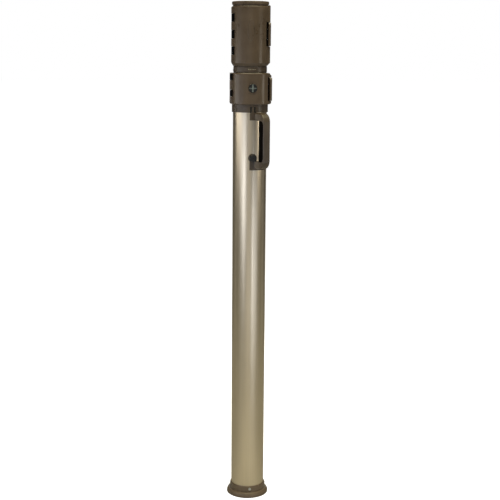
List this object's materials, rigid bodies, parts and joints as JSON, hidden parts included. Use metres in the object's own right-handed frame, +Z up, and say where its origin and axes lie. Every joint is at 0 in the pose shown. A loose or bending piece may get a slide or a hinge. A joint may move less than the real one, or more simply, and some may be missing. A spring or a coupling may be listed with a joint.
{
  "type": "boom pole",
  "caption": "Telescopic aluminium boom pole, collapsed and standing on its foot, with hinged clamp collars closed by draw latches, a side handle and a threaded tip for a microphone mount.",
  "frame": {"origin": "centre of the underside of the foot pad, on the pole's axis", "axes": "+Z up along the pole towards the tip; -Y is the front with the tension adjuster; +X is the latch side and -X the hinge side"},
  "size_m": [0.076, 0.1007, 0.898],
  "materials": {
    "aluminium_champagne": "satin champagne anodised",
    "brown_plastic": "satin dark brown, finely grained",
    "black_metal": "black satin",
    "black_plastic": "matt black",
    "rubber": "matt",
    "nylon": "waxy off-white",
    "steel": "brushed"
  },
  "bodies": {
    "base": {"outer_tube": "aluminium_champagne", "foot_cap": "brown_plastic", "foot_pad": "rubber", "foot_screws": "steel", "base_bumper": "rubber", "outer_guide": "nylon", "lower_collar": "brown_plastic", "collar_screws": "steel", "lower_rear_pad": "rubber", "lower_hinge_leaf": "black_metal", "lower_hinge_screws": "black_metal", "lower_hinge_pin": "steel", "handle_frame": "brown_plastic", "handle_shim": "rubber", "handle_grip": "rubber", "handle_knobs": "black_plastic"},
    "collar_jaw": {"lower_jaw": "brown_plastic", "lower_front_pad": "rubber", "lower_lever_pins": "steel"},
    "collar_lever": {"lower_lever": "brown_plastic", "lower_link_pin": "steel"},
    "collar_link": {"lower_link": "steel"},
    "adjuster": {"adjuster_screw": "steel", "adjuster_bezel": "black_plastic"},
    "middle_stage": {"middle_tube": "aluminium_champagne", "middle_glide": "nylon", "middle_guide": "nylon", "upper_collar": "brown_plastic", "neck_screws": "steel", "upper_rear_pad": "rubber", "upper_hinge_leaf": "black_metal", "upper_hinge_screws": "black_metal", "upper_hinge_pin": "steel"},
    "head_jaw": {"upper_jaw": "brown_plastic", "upper_front_pad": "rubber", "upper_lever_pins": "steel"},
    "head_lever": {"upper_lever": "brown_plastic", "upper_link_pin": "steel"},
    "head_link": {"upper_link": "steel"},
    "inner_stage": {"inner_tube": "aluminium_champagne", "inner_glide": "nylon", "tip_fitting": "steel", "tip_washer": "rubber"}
  },
  "joints": [
    {"name": "middle_slide", "type": "slide", "parent": "base", "child": "middle_stage", "axis": [0, 0, 1], "range_m": [0, 0.59]},
    {"name": "inner_slide", "type": "slide", "parent": "middle_stage", "child": "inner_stage", "axis": [0, 0, 1], "range_m": [0, 0.65]},
    {"name": "collar_jaw_hinge", "type": "hinge", "parent": "base", "child": "collar_jaw", "pos_m": [-0.0328, 0, 0.7485], "axis": [0, 0, -1], "range_deg": [0, 9]},
    {"name": "collar_lever_hinge", "type": "hinge", "parent": "collar_jaw", "child": "collar_lever", "pos_m": [0.0333, -0.0035, 0.7485], "axis": [0, 0, 1], "range_deg": [0, 110]},
    {"name": "collar_link_hinge", "type": "hinge", "parent": "collar_lever", "child": "collar_link", "pos_m": [0.0329, -0.0105, 0.7485], "axis": [0, 0, -1], "range_deg": [0, 140]},
    {"name": "head_jaw_hinge", "type": "hinge", "parent": "middle_stage", "child": "head_jaw", "pos_m": [-0.0303, 0, 0.8425], "axis": [0, 0, -1], "range_deg": [0, 9]},
    {"name": "head_lever_hinge", "type": "hinge", "parent": "head_jaw", "child": "head_lever", "pos_m": [0.0303, -0.0035, 0.8425], "axis": [0, 0, 1], "range_deg": [0, 110]},
    {"name": "head_link_hinge", "type": "hinge", "parent": "head_lever", "child": "head_link", "pos_m": [0.0299, -0.0105, 0.8425], "axis": [0, 0, -1], "range_deg": [0, 140]},
    {"name": "adjuster_turn", "type": "hinge", "parent": "collar_jaw", "child": "adjuster", "pos_m": [0, -0.0335, 0.7505], "axis": [0, -1, 0], "range_deg": [-180, 180]}
  ],
  "couplings": [
    {"joint": "collar_jaw_hinge", "follows": "collar_lever_hinge", "ratio": 0.075},
    {"joint": "collar_link_hinge", "follows": "collar_lever_hinge", "ratio": 1.15},
    {"joint": "head_jaw_hinge", "follows": "head_lever_hinge", "ratio": 0.075},
    {"joint": "head_link_hinge", "follows": "head_lever_hinge", "ratio": 1.15}
  ]
}
